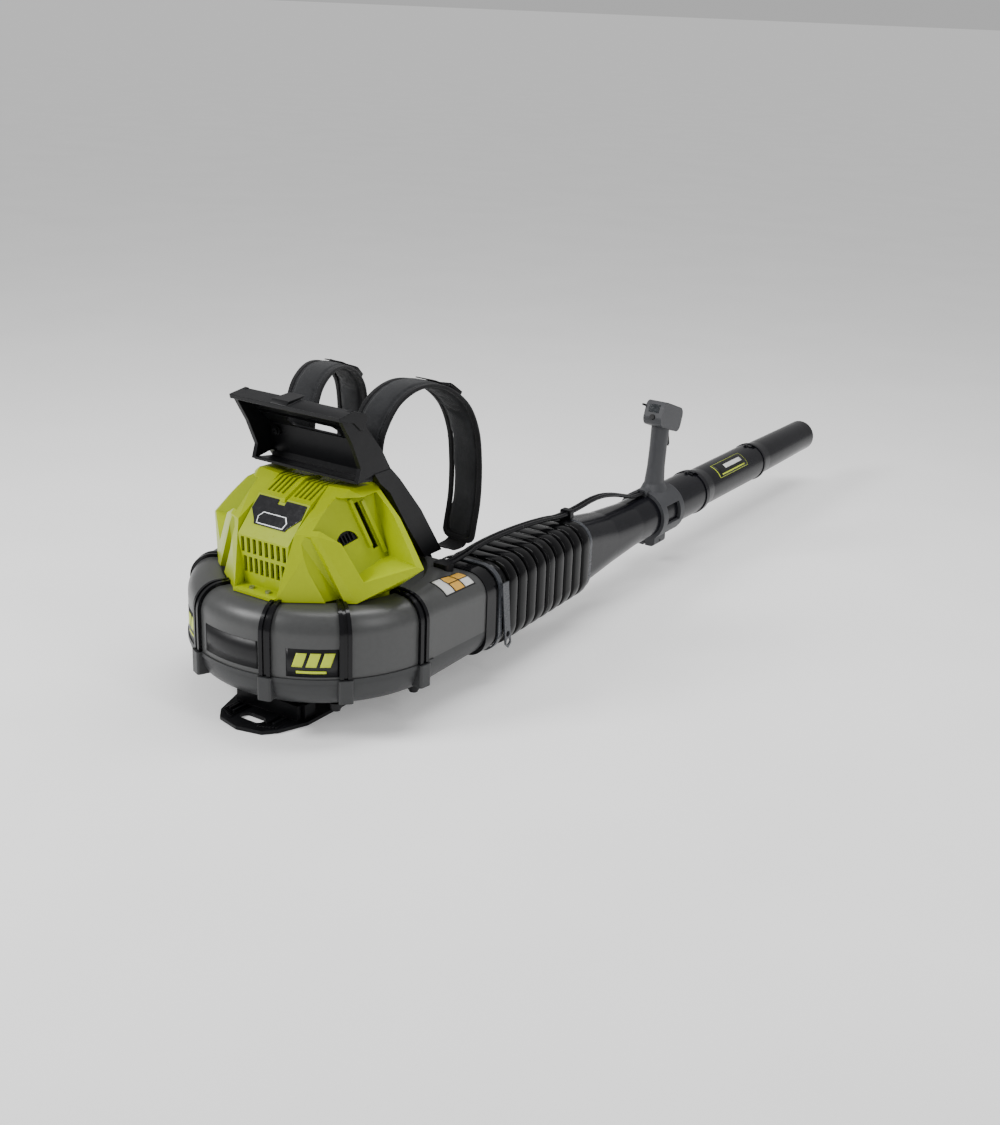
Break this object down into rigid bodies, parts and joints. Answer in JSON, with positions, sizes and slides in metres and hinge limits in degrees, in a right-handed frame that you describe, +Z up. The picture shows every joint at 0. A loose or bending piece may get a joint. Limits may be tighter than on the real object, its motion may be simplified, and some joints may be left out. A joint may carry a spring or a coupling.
{
  "type": "backpack leaf blower",
  "caption": "Battery leaf blower on a carrying frame: ring-shaped fan housing, bellows elbow, long round blowing tube, pistol control handle and padded shoulder straps.",
  "frame": {"origin": "on the floor under the fan axis, on the underside of the foot plate", "axes": "+Z up along the fan axis, +Y the way the tube blows (the wearer's forward), +X the wearer's right"},
  "size_m": [0.4392, 1.727, 0.4945],
  "materials": {
    "volute_grey": "satin",
    "gloss_black": "gloss",
    "frame_black": "fine texture",
    "housing_green": "satin",
    "handle_grey": "satin",
    "fabric_black": "woven",
    "rubber_black": "matt",
    "fastener_steel": "zinc plated",
    "shaft_steel": "ground",
    "motor_alloy": "cast",
    "copper_winding": "enamelled winding",
    "board_green": "solder mask",
    "terminal_black": "matt",
    "badge_black": "gloss",
    "fan_plastic": "glass filled",
    "trigger_black": "satin",
    "display_smoke": "gloss",
    "cable_black": "satin"
  },
  "bodies": {
    "root": {"volute_upper": "volute_grey", "volute_lower": "volute_grey", "volute_ribs": "gloss_black", "volute_screws": "fastener_steel", "volute_bumpers": "rubber_black", "inlet_guard": "frame_black", "inlet_bell": "frame_black", "stator": "copper_winding", "bearing_lower": "shaft_steel", "bearing_upper": "shaft_steel", "motor_housing": "motor_alloy", "controller_board": "board_green", "heat_sink": "motor_alloy", "motor_cover": "housing_green", "battery_bay_left": "housing_green", "battery_bay_right": "housing_green", "terminal_block_left": "terminal_black", "terminal_block_right": "terminal_black", "badge_plate": "badge_black", "cover_screws": "fastener_steel", "base_frame": "frame_black", "rubber_mounts": "rubber_black", "back_frame": "frame_black", "hood_shell": "frame_black", "carry_handle": "frame_black", "hood_screws": "fastener_steel", "back_pad": "fabric_black", "shoulder_pad_left": "fabric_black", "shoulder_pad_right": "fabric_black", "strap_webbing_left": "fabric_black", "strap_webbing_right": "fabric_black", "strap_buckle_left": "gloss_black", "strap_buckle_right": "gloss_black", "outlet_collar": "gloss_black", "clamp_rear": "rubber_black", "cable_gland": "rubber_black"},
    "fan_rotor": {"impeller": "fan_plastic", "impeller_nut": "fastener_steel", "motor_shaft": "shaft_steel", "rotor_core": "shaft_steel"},
    "elbow": {"bellows": "rubber_black", "cable_rear": "cable_black"},
    "tube": {"clamp_front": "gloss_black", "clamp_bolt": "fastener_steel", "lower_tube": "gloss_black", "cable_clip": "frame_black", "cable_front": "cable_black"},
    "mid_section": {"mid_tube": "gloss_black"},
    "nozzle_section": {"nozzle": "gloss_black"},
    "handle": {"handle_clamp": "handle_grey", "grip_left": "handle_grey", "grip_right": "handle_grey", "trigger_pin": "fastener_steel", "trigger_spring": "shaft_steel", "display_window": "display_smoke", "handle_switch": "terminal_black"},
    "knob": {"clamp_knob": "trigger_black"},
    "trigger_finger": {"trigger": "trigger_black"},
    "lever": {"cruise_lever": "trigger_black"},
    "button": {"power_button": "trigger_black"}
  },
  "joints": [
    {"name": "fan_spin", "type": "hinge", "parent": "root", "child": "fan_rotor", "pos_m": [0, 0, 0.12], "axis": [0, 0, 1], "continuous": true},
    {"name": "tube_yaw", "type": "hinge", "parent": "root", "child": "elbow", "pos_m": [0.15, 0.265, 0.118], "axis": [0, 0, 1], "range_deg": [-20, 20], "deforming": ["bellows", "cable_rear"]},
    {"name": "tube_pitch", "type": "hinge", "parent": "elbow", "child": "tube", "pos_m": [0.15, 0.39, 0.118], "axis": [1, 0, 0], "range_deg": [-20, 20], "deforming": ["bellows", "cable_rear"]},
    {"name": "handle_slide", "type": "slide", "parent": "tube", "child": "handle", "axis": [0, 1, 0], "range_m": [-0.025, 0.025], "deforming": ["cable_front"]},
    {"name": "clamp_knob_turn", "type": "hinge", "parent": "handle", "child": "knob", "pos_m": [0.15, 0.8, 0.062], "axis": [1, 0, 0], "range_deg": [-90, 90]},
    {"name": "trigger_pull", "type": "hinge", "parent": "handle", "child": "trigger_finger", "pos_m": [0.15, 0.825, 0.284], "axis": [-1, 0, 0], "range_deg": [0, 12], "stiffness_Nm_per_rad": 0.6, "springref_deg": -8.59, "deforming": ["trigger_spring"]},
    {"name": "cruise_turn", "type": "hinge", "parent": "handle", "child": "lever", "pos_m": [0.131, 0.79355, 0.32548], "axis": [-1, 0, 0], "range_deg": [0, 50]},
    {"name": "power_press", "type": "slide", "parent": "handle", "child": "button", "axis": [0, 0.9397, -0.342], "range_m": [0, 0.002], "stiffness_N_per_m": 300, "springref_m": -0.001},
    {"name": "mid_twist", "type": "hinge", "parent": "tube", "child": "mid_section", "pos_m": [0.15, 0.957, 0.118], "axis": [0, 1, 0], "range_deg": [0, 20]},
    {"name": "nozzle_twist", "type": "hinge", "parent": "mid_section", "child": "nozzle_section", "pos_m": [0.15, 1.235, 0.118], "axis": [0, 1, 0], "range_deg": [0, 20]}
  ]
}
